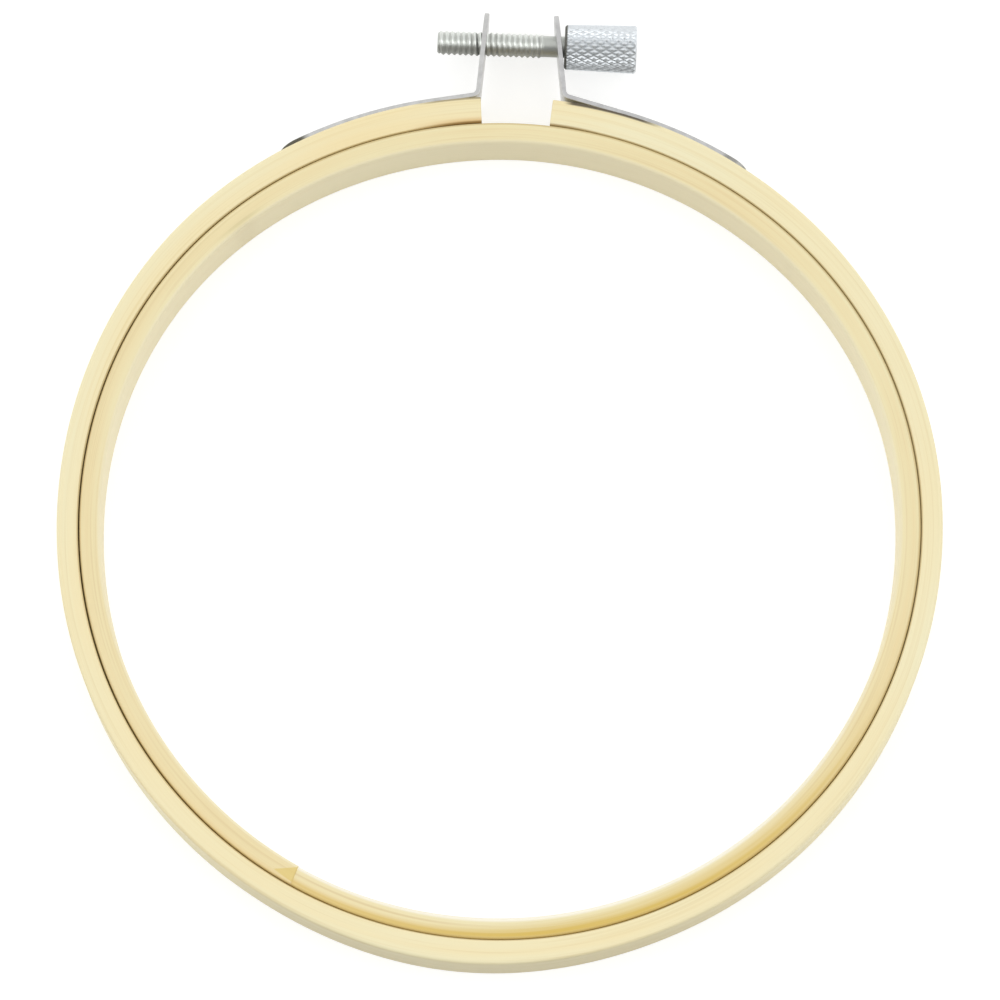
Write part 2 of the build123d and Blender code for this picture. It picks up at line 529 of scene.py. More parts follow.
def round_corner(u, v, start):
    """Quarter turn about (u, v) as (point, outward direction) pairs."""
    corner_steps = 14
    corner = []
    for k in range(corner_steps + 1):
        turn = radians(start + 90 * k / corner_steps)
        way = Vector((cos(turn), sin(turn)))
        corner.append((Vector((u, v)) + way * strip_corner_radius, way))
    return corner


def strip_outline(line):
    """Flat outline of the sheet as (point, outward direction) pairs, anticlockwise."""
    half = strip_width / 2
    rim = half - strip_corner_radius
    near, far = strip_corner_radius, line.end - strip_corner_radius
    columns = strip_stations(line)[1:-1]
    outline = [(Vector((u, -half)), Vector((0, -1))) for u in columns]
    outline += round_corner(far, -rim, -90) + round_corner(far, rim, 0)
    outline += [(Vector((u, half)), Vector((0, 1))) for u in reversed(columns)]
    return outline + round_corner(near, rim, 90) + round_corner(near, -rim, 180)


def hole_outline(along, radius, steps):
    """Flat outline of a round hole as (point, direction into the hole) pairs."""
    ways = [Vector((cos(tau * k / steps), sin(tau * k / steps))) for k in range(steps)]
    return [(Vector((along, 0)) + way * radius, -way) for way in ways]


def sheet_faces(loops, line):
    """Points and triangles of the sheet's flat face. It runs on across the loops of the holes."""
    rows_across = 9
    margin = 0.3 * mm
    inside_outline, weld_distance = 2, 1e-9
    points = [point for loop in loops for point in loop]
    outline_count = len(points)
    edges, start = [], 0
    for loop in loops:
        size = len(loop)
        edges += [(start + k, start + (k + 1) % size) for k in range(size)]
        start += size
    for u in strip_stations(line):
        for k in range(1, rows_across):
            spot = Vector((u, strip_width * (k / rows_across - 0.5)))
            if all((spot - point).length > margin for point in points[:outline_count]):
                points.append(spot)
    verts, _, faces, _, _, _ = delaunay_2d_cdt(points, edges, [], inside_outline, weld_distance)
    assert len(verts) == len(points), "the outline's points moved"
    return verts, faces


def rolled_edge():
    """Profile of the sheet's edge from one face to the other, as (inset, depth) pairs."""
    edge_steps = 3
    near_side = []
    for k in range(1, edge_steps + 1):
        turn = radians(90 * k / edge_steps)
        near_side.append((strip_edge_radius * (1 - sin(turn)), strip_edge_radius * (1 - cos(turn))))
    return near_side + [(inset, strip_thickness - depth) for inset, depth in reversed(near_side)]


def make_bracket(name, lug, side, hole_radius):
    """Stamped sheet with rolled edges, bent along its line.

    Its holes have their walls, but the flat faces run on across them round the screw and nails.
    """
    line = SheetLine(lug)
    screw_hole_steps, nail_hole_steps = 56, 24
    outlines = [strip_outline(line), hole_outline(lug_rise_past_screw, hole_radius, screw_hole_steps)]
    outlines += [hole_outline(u, nail_hole_radius, nail_hole_steps) for u in line.nail_places()]
    inset_loops = [[point - way * strip_edge_radius for point, way in loop] for loop in outlines]
    flat, triangles = sheet_faces(inset_loops, line)

    def bent(point, depth):
        spot = line.place(point.x, depth)
        return Vector((side * spot.x, spot.y, point.y))

    vertices = [bent(p, 0) for p in flat] + [bent(p, strip_thickness) for p in flat]
    count = len(flat)
    faces = [tuple(t) for t in triangles]
    faces += [tuple(i + count for i in reversed(t)) for t in triangles]
    start = 0
    for loop in outlines:
        size = len(loop)
        below = list(range(start, start + size))
        for inset, depth in rolled_edge():
            row = [bent(point - way * inset, depth) for point, way in loop]
            indices = list(range(len(vertices), len(vertices) + size))
            vertices += row
            faces += bridge(below, indices)
            below = indices
        faces += bridge(below, list(range(count + start, count + start + size)))
        start += size
    bracket = new_piece(name, vertices, faces, smooth_angle=40)
    write_grain(bracket, along_strip)
    return bracket


def lathe(profile, segments):
    """Skin of a profile of (radius, height) points turned about Z, closed at both ends."""
    turns = [tau * k / segments for k in range(segments)]
    return loft([
        [Vector((cos(turn) * radius, sin(turn) * radius, height)) for turn in turns]
        for radius, height in profile
    ])


def hammer_dent(point, seed, number):
    """Height, zero or less, that the hammer leaves at a point of a nail's head."""
    dent_width, dent_depth = 1.1 * mm, 0.05 * mm
    spot = Vector((point.x, point.y, 0)) / dent_width
    return dent_depth * min(noise.noise(spot + Vector((seed, number, 0))), 0.0)


def make_nails(name, lug, side, seed):
    """Two nails in one piece, their low domed heads marked by the hammer."""
    segments = 40
    dome_steps = 8
    rim = 0.18 * mm
    middle = 0.02 * mm
    underside_share = 0.97
    dome = []
    for k in range(dome_steps):
        turn = radians(90 * k / dome_steps)
        dome.append((nail_head_radius * cos(turn), rim + (nail_head_rise - rim) * sin(turn)))
    profile = [
        (middle, -nail_length), (nail_radius, nail_point_length - nail_length),
        (nail_radius, 0.0), (nail_head_radius * underside_share, 0.0), (nail_head_radius, rim / 2),
        *dome, (middle, nail_head_rise),
    ]
    points, sides = lathe(profile, segments)
    vertices, faces = [], []
    for number, (seat, normal) in enumerate(nail_seats(lug, side)):
        hammered = [
            p + Vector((0, 0, hammer_dent(p, seed, number))) if p.z > rim else p for p in points
        ]
        turned = normal.to_track_quat("Z", "Y").to_matrix()
        start = len(vertices)
        vertices += [seat + turned @ p for p in hammered]
        faces += [tuple(i + start for i in side_face) for side_face in sides]
    nails = new_piece(name, vertices, faces, smooth_angle=50)
    write_grain(nails, along_strip)
    return nails


# Screw and knob

def on_screw(x, radius, turn):
    """Point at a distance along the screw's axis, a radius and a turn about +X."""
    return Vector((x, screw_y + radius * cos(turn), radius * sin(turn)))


def thread_radius(phase):
    """Radius of the rolled, rounded thread at a share of its pitch, its crest at one half."""
    depth = thread_crest_radius - thread_root_radius
    return thread_root_radius + depth * (1 - cos(tau * phase)) / 2


def screw_radius_at(x, phase):
    """Radius of the shank with the tip's chamfer and the thread's run-out into the neck."""
    run_out = 1.1 * mm
    fade = smoothstep(0, 1, (neck_x - x) / run_out)
    radius = neck_radius + (thread_radius(phase) - neck_radius) * fade
    return min(radius, thread_crest_radius - tip_chamfer + (x - tip_x))


def make_screw():
    """Right-hand thread as rows that climb one pitch a turn, cut off square at both ends."""
    segments = 72
    samples = 10
    smooth_angle = 40
    turns = ceil((neck_x - tip_x) / thread_pitch) + 1
    vertices, faces, index = [], [], {}
    for pitch_number in range(-1, turns + 1):
        for sample in range(samples):
            share = sample / samples
            for k in range(segments):
                x = tip_x + (pitch_number + share + k / segments) * thread_pitch
                held = min(max(x, tip_x), neck_x)
                index[pitch_number * samples + sample, k] = len(vertices)
                phase = (share + (held - x) / thread_pitch) % 1.0
                vertices.append(on_screw(held, screw_radius_at(held, phase), tau * k / segments))
    for row in range(-samples, turns * samples):
        for k in range(segments):
            after = (row, k + 1) if k + 1 < segments else (row + samples, 0)
            beside = (after[0] + 1, after[1])
            if beside in index:
                faces.append((index[row, k], index[after], index[beside], index[row + 1, k]))
    screw = new_piece("thread_and_shank", vertices, faces, smooth_angle)
    close_screw_ends(screw.data)
    smooth_out(screw.data, smooth_angle)
    write_grain(screw, around_screw)
    return screw


def close_screw_ends(mesh):
    """Adds the tip's face, and the neck that goes on into the knob."""
    end_clearance = 0.01 * mm
    tail_x = knob_x + knob_bore_depth - end_clearance
    bm = bmesh.new()
    bm.from_mesh(mesh)
    middle = tip_x / 2
    open_edges = [e for e in bm.edges if e.is_boundary]
    tip_edges = [e for e in open_edges if e.verts[0].co.x < middle]
    neck_edges = [e for e in open_edges if e.verts[0].co.x > middle]
    bmesh.ops.holes_fill(bm, edges=tip_edges, sides=0)
    pulled = bmesh.ops.extrude_edge_only(bm, edges=neck_edges)["geom"]
    for v in pulled:
        if isinstance(v, bmesh.types.BMVert):
            v.co.x = tail_x
    far_edges = [e for e in bm.edges if e.is_boundary]
    bmesh.ops.holes_fill(bm, edges=far_edges, sides=0)
    bmesh.ops.recalc_face_normals(bm, faces=bm.faces)
    bm.to_mesh(mesh)
    bm.free()


def knurl_cut(x, turn, radius):
    """Depth of the two crossing families of grooves at a place on the knob."""
    slope = tan(radians(knurl_angle)) / radius
    depth = 0.0
    for way in (1, -1):
        phase = (turn + way * slope * x) * knurl_grooves / tau
        from_groove = abs(phase - round(phase)) * tau / knurl_grooves * radius
        square_on = from_groove * cos(radians(knurl_angle))
        depth = max(depth, knurl_depth - square_on)
    return depth


def make_knob():
    """Knurled grip: the rows follow the grooves, so that each crossing has its own vertex."""
    steps_per_groove = 10
    bore_middle = 0.05 * mm
    near_face_shares, far_face_shares = (0.4, 0.8), (0.85, 0.5, 0.02)
    chamfer_shares = (0.25, 0.5, 0.75)
    segments = knurl_grooves * steps_per_groove
    mean_radius = (knob_inner_radius + knob_outer_radius) / 2
    row_step = tau / segments * mean_radius / tan(radians(knurl_angle))
    count = round(knob_length / row_step)

    def grip_radius(x, turn):
        plain = knob_inner_radius + (knob_outer_radius - knob_inner_radius) * x / knob_length
        broken = min(x, knob_length - x) + plain - knob_chamfer
        return min(plain - knurl_cut(x, turn, mean_radius), broken)

    def ring(x, radius_at):
        turns = [tau * k / segments for k in range(segments)]
        return [on_screw(knob_x + x, radius_at(turn), turn) for turn in turns]

    def round_ring(x, radius):
        return ring(x, lambda turn: radius)

    def near_face_ring(share):
        return ring(0.0, lambda turn: knob_bore_radius + share * (
            grip_radius(0.0, turn) - knob_bore_radius))

    def grip_ring(x):
        return ring(x, lambda turn: grip_radius(x, turn))

    stations = {k * knob_length / count for k in range(count + 1)}
    for share in chamfer_shares:
        stations |= {knob_chamfer * share, knob_length - knob_chamfer * share}
    flat_radius = knob_outer_radius - knob_chamfer
    rows = [round_ring(knob_bore_depth, bore_middle), round_ring(knob_bore_depth, knob_bore_radius)]
    rows.append(round_ring(0.0, knob_bore_radius))
    rows += [near_face_ring(share) for share in near_face_shares]
    rows += [grip_ring(x) for x in sorted(stations)]
    rows += [round_ring(knob_length, share * flat_radius) for share in far_face_shares]
    knob = new_piece("knurled_knob", *loft(rows), smooth_angle=25)
    write_grain(knob, around_screw)
    return knob


# Materials, and the colours of the marks on them
# Painted light: paler straw of the bore wall, for the light that the white floor throws on it
bore_wall_light_straw = (0.90, 0.82, 0.57)
# Painted shade and painted highlight on the inner band by the foot: darker gold beside the outer
# band, near white by the bore
foot_shade_gold = (0.70, 0.50, 0.12)
rim_highlight_white = (0.98, 0.96, 0.88)
edge_gold = (0.80, 0.58, 0.24)
wedge_gold = (0.76, 0.58, 0.18)
glue_brown = (0.42, 0.28, 0.10)
node_brown = (0.50, 0.38, 0.20)
node_olive = (0.58, 0.50, 0.24)
# Painted shade along the seam between the two bands
seam_shade_brown = (0.48, 0.34, 0.11)
# Painted shade of the outer band's walls by the foot
foot_wall_shade = (0.66, 0.57, 0.34)
patch_gold = (0.92, 0.71, 0.35)
# Painted shade at the cut ends' inner edges: an orange halo and a dark line
end_shade_halo_brown = (0.66, 0.37, 0.09)
end_edge_shade_brown = (0.24, 0.13, 0.03)
# Painted shadow in the gaps beside the brackets' sheets
right_strip_shadow_black = (0.05, 0.035, 0.025)
left_strip_shadow_brown = (0.20, 0.14, 0.06)
# Dark brown of grease, of painted shade on the screw and knob, and of the darker strip tails
tarnish_and_shade_brown = (0.08, 0.075, 0.05)


class Shader:
    """A material's node tree, built link by link."""

    def __init__(self, name):
        self.material = bpy.data.materials.new(name)
        self.material.use_nodes = True
        self.tree = self.material.node_tree
        self.tree.nodes.clear()
        self.output = self.tree.nodes.new("ShaderNodeOutputMaterial")

    def node(self, kind, settings=None, **inputs):
        made = self.tree.nodes.new("ShaderNode" + kind)
        for key, value in (settings or {}).items():
            setattr(made, key, value)
        for key, value in inputs.items():
            self.feed(made.inputs[key.replace("_", " ")], value)
        return made

    def feed(self, socket, value):
        if isinstance(value, bpy.types.NodeSocket):
            self.tree.links.new(value, socket)
        elif socket.type == "RGBA" and len(value) == 3:
            socket.default_value = (*value, 1.0)
        else:
            socket.default_value = value

    def fed(self, made, *values):
        """First output of a node, whose first inputs get the values."""
        for socket, value in zip(made.inputs, values):
            self.feed(socket, value)
        return made.outputs[0]

    def math(self, operation, *values):
        return self.fed(self.node("Math", {"operation": operation}), *values)

    def product(self, *shares):
        made = shares[0]
        for share in shares[1:]:
            made = self.math("MULTIPLY", made, share)
        return made

    def scaled(self, value, slope, offset):
        """The value times the slope, plus the offset."""
        return self.math("ADD", self.math("MULTIPLY", value, slope), offset)

    def weighted(self, first, second, share):
        """Sum of a share of the first value and the rest of the second."""
        return self.math("ADD", self.product(first, share), self.product(second, 1 - share))

    def distance(self, value, place):
        return self.math("ABSOLUTE", self.math("SUBTRACT", value, place))

    def grain(self):
        """The stored grain as a vector and as its three parts."""
        vector = self.node("Attribute", {"attribute_name": "grain"}).outputs["Vector"]
        parts = self.node("SeparateXYZ", Vector=vector).outputs
        return vector, parts[0], parts[1], parts[2]

    def noise(self, vector, scale, shift, detail=3.0, roughness=0.6):
        """Noise that is finer along each axis by its scale."""
        place = self.node("Mapping", Vector=vector, Scale=scale, Location=shift).outputs[0]
        made = self.node("TexNoise", Vector=place, Scale=1.0, Detail=detail, Roughness=roughness)
        return made.outputs["Fac"]

    def ramp(self, value, *stops):
        """Grey ramp through two (position, grey) stops."""
        made = self.node("ValToRGB")
        for element, (position, grey) in zip(made.color_ramp.elements, stops):
            element.position = position
            element.color = (grey, grey, grey, 1.0)
        return self.fed(made, value)

    def fade(self, value, start, end):
        """Smooth share that is 0 at the start and 1 at the end, and held beyond them."""
        made = self.node("MapRange", {"interpolation_type": "SMOOTHSTEP"})
        return self.fed(made, value, start, end, 0.0, 1.0)

    def mix(self, share, first, second):
        made = self.node("Mix", {"data_type": "RGBA"})
        self.feed(made.inputs[0], share)
        self.feed(made.inputs[6], first)
        self.feed(made.inputs[7], second)
        return made.outputs[2]

    def bump(self, height, distance, strength):
        return self.node("Bump", Height=height, Distance=distance, Strength=strength).outputs[0]

    def finish(self, shader):
        self.tree.links.new(shader, self.output.inputs["Surface"])
        return self.material


def bamboo(name, pale, straw, fibre, seed, marks):
    """Planed bamboo: fine fibres along the band, broad soft bands and slow changes of tone."""
    band_share, streak_share, hair_share = 0.55, 0.4, 0.28
    s = Shader(name)
    vector, along, out, height = s.grain()
    shift = (seed, seed * 2.3, seed * 1.7)
    fine = s.noise(vector, (40, 5200, 5200), shift, detail=4.0)
    strands = s.noise(vector, (14, 1500, 1500), shift)
    bands = s.noise(vector, (6, 420, 420), shift, detail=2.0, roughness=0.5)
    slow = s.noise(vector, (24, 60, 60), shift, detail=2.0, roughness=0.5)
    tone = s.ramp(s.weighted(bands, slow, band_share), (0.38, 0.0), (0.64, 1.0))
    colour = s.mix(tone, pale, straw)
    streaks = s.ramp(strands, (0.52, 0.0), (0.72, 1.0))
    colour = s.mix(s.product(streaks, streak_share), colour, fibre)
    hairs = s.ramp(fine, (0.56, 0.0), (0.72, 1.0))
    colour = s.mix(s.product(hairs, hair_share), colour, fibre)
    colour = marks(s, colour, along, out, height)
    relief = s.bump(s.weighted(fine, strands, share=0.4), distance=0.04 * mm, strength=0.6)
    rough = s.ramp(strands, (0.3, 0.46), (0.7, 0.6))
    surface = s.node("BsdfPrincipled", Base_Color=colour, Roughness=rough, Normal=relief)
    surface.inputs["Specular IOR Level"].default_value = 0.35
    return s.finish(surface.outputs[0])


def along_hoop(angle, start_angle):
    """Length along a band's grain at an angle on the hoop."""
    return (angle - start_angle) % 360 * pi / 180 * seat_radius


def inner_at(angle):
    """Length along the inner band, from its glued joint."""
    return along_hoop(angle, joint_angle)


def outer_at(angle):
    """Length along the outer band, from the clamp."""
    return along_hoop(angle, 0)


def inner_band_marks(s, colour, along, out, height):
    """Bore wall painted paler as painted light, painted shade along the seam against the outer band,
    and the marks below.
    """
    by_edge = s.fade(s.math("ABSOLUTE", height), 3.3 * mm, 4.1 * mm)
    vector = s.grain()[0]
    streaks = s.noise(vector, (22, 1700, 1700), (5, 2, 9), roughness=0.55)
    streaks = s.ramp(streaks, (0.36, 0.0), (0.62, 1.0))
    # Painted light: the bore wall is painted paler, standing in for the light that the white floor
    # throws on it.
    wall = s.product(s.fade(out, -3.0 * mm, -3.5 * mm), 0.8)
    colour = s.mix(wall, colour, bore_wall_light_straw)
    colour = shaded_golden_foot(s, colour, along, out, by_edge, streaks)
    colour = joint_marks(s, colour, along, out)
    # Painted shade: the edge along the seam is darkened brown, where the gap between the bands lies
    # in shade.
    seam_shade = s.product(s.fade(out, -0.65 * mm, -0.25 * mm), by_edge, 0.6)
    colour = s.mix(seam_shade, colour, seam_shade_brown)
    return node_marks(s, colour, along, out, streaks)


def shaded_golden_foot(s, colour, along, out, by_edge, streaks):
    """Painted shade on the outer side from the lower right to the joint, golden from light bounced
    off the outer band, and a painted highlight on the rim by the bore.
    """
    rising = s.fade(along, inner_at(102), inner_at(150))
    by_joint = s.fade(along, inner_at(165), inner_at(-157))
    inner_limit = s.scaled(by_joint, 1.3 * mm, -3.1 * mm)
    # Painted shade: darker gold beside the outer band, which stands above this band here and shades
    # it.
    golden_shade = s.product(
        s.fade(out, inner_limit, -0.8 * mm), rising, 0.92, s.scaled(by_joint, -0.35, 1.0),
        s.scaled(by_edge, 0.5, 0.5), s.scaled(streaks, 0.4, 0.75),
    )
    colour = s.mix(golden_shade, colour, foot_shade_gold)
    # Painted highlight: the rim by the bore is painted near white, standing in for the light it
    # catches.
    rim_highlight = s.product(rising, s.fade(out, -2.8 * mm, -3.3 * mm), by_edge, 0.6)
    return s.mix(rim_highlight, colour, rim_highlight_white)


def joint_marks(s, colour, along, out):
    """Golden edge past the glued joint, the wedge of its cut face, and its faint line of glue."""
    wedge_length, wedge_softness = 4.0 * mm, 0.25 * mm
    past_joint = s.product(s.fade(out, -1.4 * mm, -0.4 * mm), s.fade(along, 50 * mm, 8 * mm), 0.5)
    colour = s.mix(past_joint, colour, edge_gold)
    to_tip = s.math("DIVIDE", along, wedge_length)
    low_side = s.scaled(to_tip, 2.5 * mm, -3.6 * mm)
    high_side = s.scaled(to_tip, -0.4 * mm, -0.6 * mm)
    above = s.fade(s.math("SUBTRACT", out, low_side), 0.0, wedge_softness)
    below = s.fade(s.math("SUBTRACT", high_side, out), 0.0, wedge_softness)
    colour = s.mix(s.product(above, below, 0.75), colour, wedge_gold)
    glue_line = s.product(s.fade(along, 0.3 * mm, 0.05 * mm), 0.2)
    return s.mix(glue_line, colour, glue_brown)


def node_marks(s, colour, along, out, streaks):
    """Trace of a bamboo node at the upper left: a faint belt, and streaks along its rim."""
    off_node = s.distance(along, inner_at(-42))
    belt = s.product(s.fade(off_node, 3.5 * mm, 0.5 * mm), s.fade(out, -1.6 * mm, -2.8 * mm), 0.1)
    colour = s.mix(belt, colour, node_brown)
    by_rim = s.fade(s.distance(out, -2.8 * mm), 1.0 * mm, 0.2 * mm)
    figure = s.product(s.fade(off_node, 7 * mm, 1 * mm), by_rim, 0.4, streaks)
    return s.mix(figure, colour, node_olive)


def outer_band_marks(s, colour, along, out, height):
    """Painted shade on the walls by the foot, a golden patch at the upper left, painted shade along
    the seam, and the painted shade at the ends.
    """
    # Painted shade: the walls by the foot face the dimmer side of the light, so they are painted
    # darker.
    shaded_walls = s.fade(height, 4.95 * mm, 4.5 * mm)
    by_foot = s.fade(s.distance(along, outer_at(180)), outer_at(50), outer_at(18))
    colour = s.mix(s.product(shaded_walls, by_foot, 0.6), colour, foot_wall_shade)
    patch = s.product(s.fade(s.distance(along, outer_at(-22)), 24 * mm, 3 * mm), 0.3)
    colour = s.mix(patch, colour, patch_gold)
    by_edge = s.fade(s.math("ABSOLUTE", height), 3.9 * mm, 4.6 * mm)
    # Painted shade: the edge along the seam is darkened brown, where the gap between the bands lies
    # in shade.
    seam_shade = s.product(s.fade(out, 0.3 * mm, 0.1 * mm), by_edge, 0.6)
    colour = s.mix(seam_shade, colour, seam_shade_brown)
    return clamp_end_marks(s, colour, along, out, by_edge)


def clamp_end_marks(s, colour, along, out, by_edge):
    """Painted shade on the inner edges at the two cut ends, and painted shadow on the outer edges
    beside the brackets.
    """
    left_end = outer_at(-gap_half_angle)
    by_left_end = s.fade(along, left_end - 14 * mm, left_end - 2 * mm)
    by_right_end = s.product(s.fade(along, outer_at(13), outer_at(6)), 0.6)
    # Painted shade: a brown halo and a dark line along the inner edge by the left end, and a dark
    # line by the right end, where the step and gap between the bands lie in shade.
    end_shade_halo = s.product(by_left_end, s.fade(out, 1.4 * mm, 0.2 * mm), by_edge, 0.65)
    colour = s.mix(end_shade_halo, colour, end_shade_halo_brown)
    end_edge_shade = s.math("MAXIMUM", by_left_end, by_right_end)
    end_edge_shade = s.product(end_edge_shade, s.fade(out, 0.5 * mm, 0.2 * mm), by_edge, 0.8)
    colour = s.mix(end_edge_shade, colour, end_edge_shade_brown)
    # Painted shadow: dark lines on the band's outer top edge, in the gap beside each bracket's sheet.
    right_strip_shadow = s.product(
        s.fade(along, outer_at(6), outer_at(7.5)), s.fade(along, outer_at(20), outer_at(16.5)),
        s.fade(out, 3.95 * mm, 4.3 * mm), by_edge, 0.92,
    )
    colour = s.mix(right_strip_shadow, colour, right_strip_shadow_black)
    left_strip_shadow = s.product(
        s.fade(along, outer_at(-14), outer_at(-10)), s.fade(out, 4.15 * mm, 4.45 * mm), by_edge, 0.7,
    )
    return s.mix(left_strip_shadow, colour, left_strip_shadow_brown)


def on_side(s, turn, middle, widest, full):
    """Share of a turned piece's side: 0 at the widest angle from its middle, 1 at the full one."""
    facing = s.math("COSINE", s.math("SUBTRACT", turn, radians(middle)))
    return s.fade(facing, cos(radians(widest)), cos(radians(full)))


def thread_grease_and_shade(s, along, out, turn):
    """Dull grease in the thread, and painted shade on one side of the shank along its length."""
    roots = s.fade(out, thread_crest_radius - 0.1 * mm, thread_root_radius + 0.05 * mm)
    # Painted shade: the side of the shank towards the dim side of the light is painted dark, and it
    # turns with the screw.
    shaded_side = s.product(on_side(s, turn, middle=170, widest=66, full=32), 0.6)
    return s.math("MAXIMUM", shaded_side, s.product(roots, 0.3))


def knurl_shade(s, along, out, turn):
    """Painted shade in the knurl's grooves on one side, and painted shadow on the end by the lug."""
    taper = (knob_outer_radius - knob_inner_radius) / knob_length
    from_face = s.math("SUBTRACT", along, knob_x)
    plain = s.scaled(from_face, taper, knob_inner_radius)
    groove_shade = s.fade(s.math("SUBTRACT", plain, out), 0.08 * mm, 0.28 * mm)
    # Painted shade: the grooves on the side towards the dim light are painted dark.
    groove_shade = s.product(groove_shade, on_side(s, turn, middle=160, widest=80, full=40), 0.35)
    # Painted shadow: the knob's end by the lug is painted dark, for the shadow between them.
    end = s.product(s.fade(from_face, 0.6 * mm, 0.3 * mm), 0.9)
    return s.math("MAXIMUM", groove_shade, end)


def tail_darkening(strength):
    """Darkening on the last few millimetres of a strip's tail and on the nail there."""
    def share(s, along, out, width):
        return s.product(s.fade(along, 5.5 * mm, 3.8 * mm), strength)
    return share


def zinc(name, colour, seed, streak_scale, roughness, tarnish_and_shade_at, relief=0.01 * mm):
    """Zinc plate: bright grey with faint streaks, cloudy patches and fine dents.

    Where its dark share is high, from grease in the thread, painted shade on the screw and knob, and
    the darker tails of the strips, it turns dark, rough and less like metal.
    """
    darkening, streak_share = 0.8, 0.35
    tarnish_and_shade_rough, tarnish_and_shade_dull = 0.7, 0.8
    s = Shader(name)
    vector, *parts = s.grain()
    shift = (seed, seed * 1.9, seed * 0.7)
    streaks = s.noise(vector, streak_scale, shift)
    clouds = s.noise(vector, (600, 600, 600), shift)
    darker = tuple(part * darkening for part in colour)
    tint = s.mix(s.ramp(clouds, (0.35, 0.0), (0.7, 1.0)), colour, darker)
    streaky = s.product(s.ramp(streaks, (0.5, 0.0), (0.75, 1.0)), streak_share)
    tint = s.mix(streaky, tint, darker)
    low, high = roughness
    rough = s.ramp(clouds, (0.3, low), (0.7, high))
    # Dark share: grease, painted shade on the screw and knob, and the darker strip tails.
    tarnish_and_shade = tarnish_and_shade_at(s, *parts)
    surface = s.node(
        "BsdfPrincipled",
        Base_Color=s.mix(tarnish_and_shade, tint, tarnish_and_shade_brown),
        Roughness=s.math("MAXIMUM", rough, s.product(tarnish_and_shade, tarnish_and_shade_rough)),
        Metallic=s.scaled(tarnish_and_shade, -tarnish_and_shade_dull, 1.0),
        Normal=s.bump(s.weighted(streaks, clouds, share=0.6), relief, strength=0.5),
    )
    return s.finish(surface.outputs[0])


# Stage

def make_floor():
    """White floor. Seen directly it also glows, so that its shadow stays soft and pale."""
    half_size = 4.0
    white, grey, glow_white = (0.9, 0.9, 0.9), (0.45, 0.45, 0.45), (1.0, 1.0, 0.985)
    corners = [(x * half_size, y * half_size, -half_height)
               for x, y in ((-1, -1), (1, -1), (1, 1), (-1, 1))]
    mesh = bpy.data.meshes.new("floor")
    mesh.from_pydata(corners, [], [(0, 1, 2, 3)])
    floor = add_object("floor", mesh)
    s = Shader("floor_white")
    rays = s.node("LightPath").outputs
    seen = s.math("MAXIMUM", rays["Is Camera Ray"], rays["Is Glossy Ray"])
    seen = s.math("MAXIMUM", seen, rays["Is Transmission Ray"])
    plain = s.node("BsdfDiffuse", Color=white).outputs[0]
    half_lit = s.node("BsdfDiffuse", Color=grey).outputs[0]
    glow = s.node("Emission", Color=glow_white, Strength=0.68).outputs[0]
    lifted = s.fed(s.node("AddShader"), half_lit, glow)
    chosen = s.fed(s.node("MixShader"), seen, plain, lifted)
    mesh.materials.append(s.finish(chosen))


def make_world():
    """Soft white light, dimmer from the foot's side than from the clamp's."""
    dim_below_y, bright_above_y, dim, bright = -0.5, -0.1, 0.28, 0.92
    world = bpy.data.worlds.new("studio")
    bpy.context.scene.world = world
    world.use_nodes = True
    tree = world.node_tree
    background = tree.nodes["Background"]
    background.inputs["Color"].default_value = (1.0, 1.0, 1.0, 1.0)
    direction = tree.nodes.new("ShaderNodeTexCoord").outputs["Generated"]
    parts = tree.nodes.new("ShaderNodeSeparateXYZ")
    tree.links.new(direction, parts.inputs[0])
    strength = tree.nodes.new("ShaderNodeMapRange")
    strength.interpolation_type = "SMOOTHSTEP"
    tree.links.new(parts.outputs["Y"], strength.inputs[0])
    limits = (dim_below_y, bright_above_y, dim, bright)
    for socket, value in zip(strength.inputs[1:], limits):
        socket.default_value = value
    tree.links.new(strength.outputs[0], background.inputs["Strength"])


def stand(item, place, way):
    """Stands a lamp or camera at a place, facing a way."""
    item.location = place
    item.rotation_mode = "QUATERNION"
    item.rotation_quaternion = way.to_track_quat("-Z", "Y")


def make_lamps():
    """A large round lamp on each side, aimed at the hoop."""
    width, power = 1.5, 7.0
    for name, x in (("left", -1.2), ("right", 1.2)):
        data = bpy.data.lights.new(name, "AREA")
        data.shape = "DISK"
        data.size = width
        data.energy = power
        place = Vector((x, -0.35, 1.0))
        stand(add_object(name, data), place, -place)


def make_camera():
    """Camera 14 degrees off the hoop's axis."""
    tilt, swing = radians(14.25), radians(2.3)
    distance = 0.823
    frame_rise, frame_shift = 3.7 * mm, 0.1 * mm
    data = bpy.data.cameras.new("camera")
    data.lens = 175.7
    data.sensor_width = 36.0
    data.clip_start, data.clip_end = 0.05, 20.0
    back = Vector((sin(tilt) * sin(swing), -sin(tilt) * cos(swing), cos(tilt)))
    target = Vector((0, 0, half_height))
    place = target + back * distance
    turned = (-back).to_track_quat("-Z", "Y")
    up = turned @ Vector((0, 1, 0))
    across = turned @ Vector((1, 0, 0))
    camera = add_object("camera", data)
    stand(camera, place, target + up * frame_rise + across * frame_shift - place)
    bpy.context.scene.camera = camera


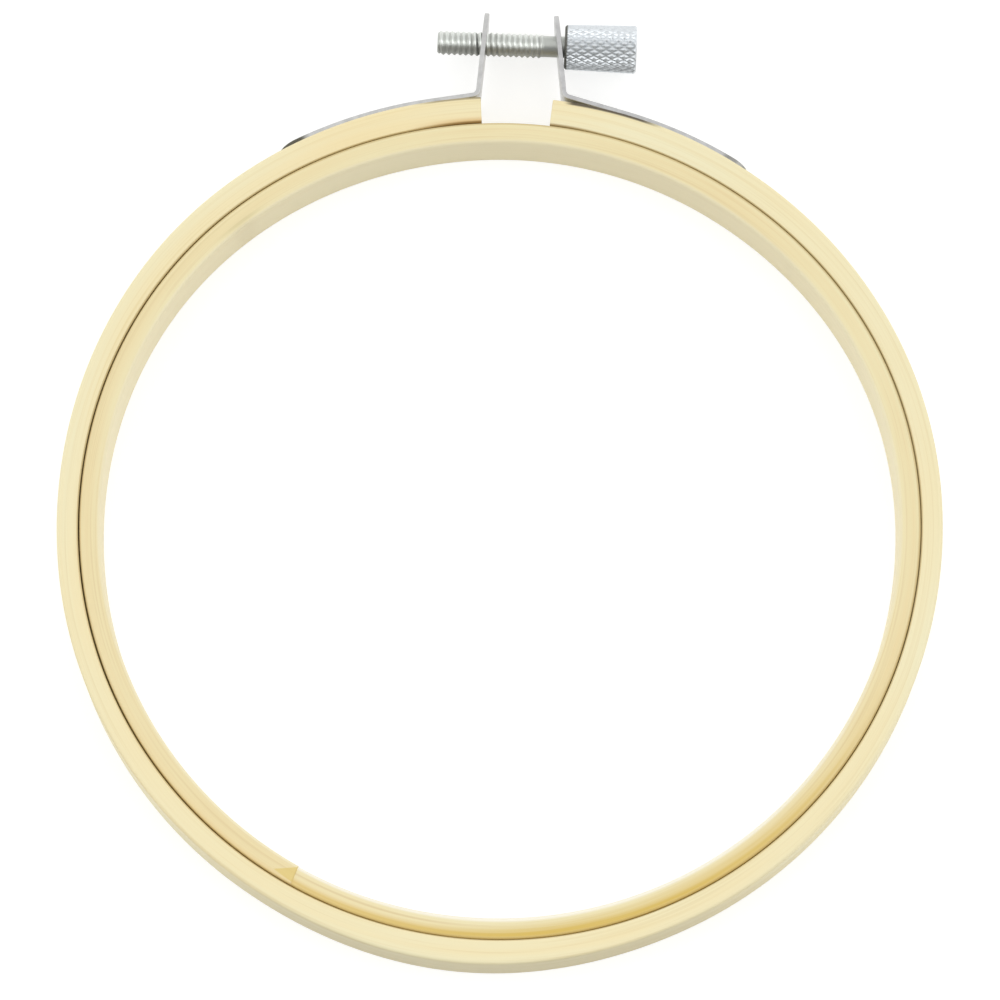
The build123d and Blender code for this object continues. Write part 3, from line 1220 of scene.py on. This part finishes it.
def main():
    bamboo_inner = bamboo(
        "bamboo_inner", (0.87, 0.78, 0.48), (0.84, 0.69, 0.38), (0.66, 0.48, 0.22), 3.0,
        inner_band_marks,
    )
    bamboo_outer = bamboo(
        "bamboo_outer", (0.89, 0.83, 0.56), (0.90, 0.78, 0.47), (0.72, 0.56, 0.26), 8.0,
        outer_band_marks,
    )
    rolled, sheet_rough = (300, 300, 2500), (0.34, 0.46)
    dark_tail, dull_tail = tail_darkening(0.95), tail_darkening(0.5)
    threaded_sheet = zinc("threaded_sheet", (0.68, 0.68, 0.67), 2.0, rolled, sheet_rough, dark_tail)
    plain_sheet = zinc("plain_sheet", (0.64, 0.64, 0.64), 4.0, rolled, sheet_rough, dull_tail)
    nail_zinc = zinc(
        "nail_zinc", (0.34, 0.33, 0.31), 5.0, (900, 900, 900), (0.42, 0.55), dark_tail, 0.03 * mm,
    )
    screw_zinc = zinc(
        "screw_zinc", (0.82, 0.85, 0.81), 7.0, (200, 200, 3), (0.24, 0.36), thread_grease_and_shade,
    )
    knob_zinc = zinc(
        "knob_zinc", (0.87, 0.91, 0.94), 9.0, (200, 2000, 3), (0.34, 0.5), knurl_shade,
    )

    inner = make_inner_ring()
    right_half = make_outer_half("outer_band_plain_side", plain_lug, 1)
    left_half = make_outer_half("outer_band_threaded_side", threaded_lug, -1)
    plain_bracket = make_bracket("plain_bracket_sheet", plain_lug, 1, plain_hole_radius)
    threaded_bracket = make_bracket("threaded_bracket_sheet", threaded_lug, -1, threaded_hole_radius)
    plain_nails = make_nails("plain_side_nails", plain_lug, 1, 4.0)
    threaded_nails = make_nails("threaded_side_nails", threaded_lug, -1, 6.0)
    for piece in (inner, right_half, left_half, plain_bracket, threaded_bracket,
                  plain_nails, threaded_nails):
        bend_unevenly(piece)
    screw = make_screw()
    knob = make_knob()

    pieces = [
        (inner, bamboo_inner, "bamboo_inner", "inner_ring", "inner_side"),
        (right_half, bamboo_outer, "bamboo_outer", "outer_ring", "outer_side"),
        (left_half, bamboo_outer, "bamboo_outer", "outer_ring", None),
        (plain_bracket, plain_sheet, "bracket_steel", "plain_bracket", "outer_side"),
        (threaded_bracket, threaded_sheet, "bracket_steel", "threaded_bracket", "threaded_side"),
        (plain_nails, nail_zinc, "nail_steel", "plain_bracket_nails", "outer_side"),
        (threaded_nails, nail_zinc, "nail_steel", "threaded_bracket_nails", "threaded_side"),
        (screw, screw_zinc, "screw_steel", "clamp_screw", "screw_and_knob"),
        (knob, knob_zinc, "knob_steel", "clamp_knob", "screw_and_knob"),
    ]
    for piece, material, slot, node, body in pieces:
        piece.data.materials.clear()
        piece.data.materials.append(material)
        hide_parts(node)
        if body:
            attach(piece, body)
    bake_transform(left_half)

    make_floor()
    make_world()
    make_lamps()
    make_camera()
    bpy.context.scene.view_settings.view_transform = "Standard"


main()
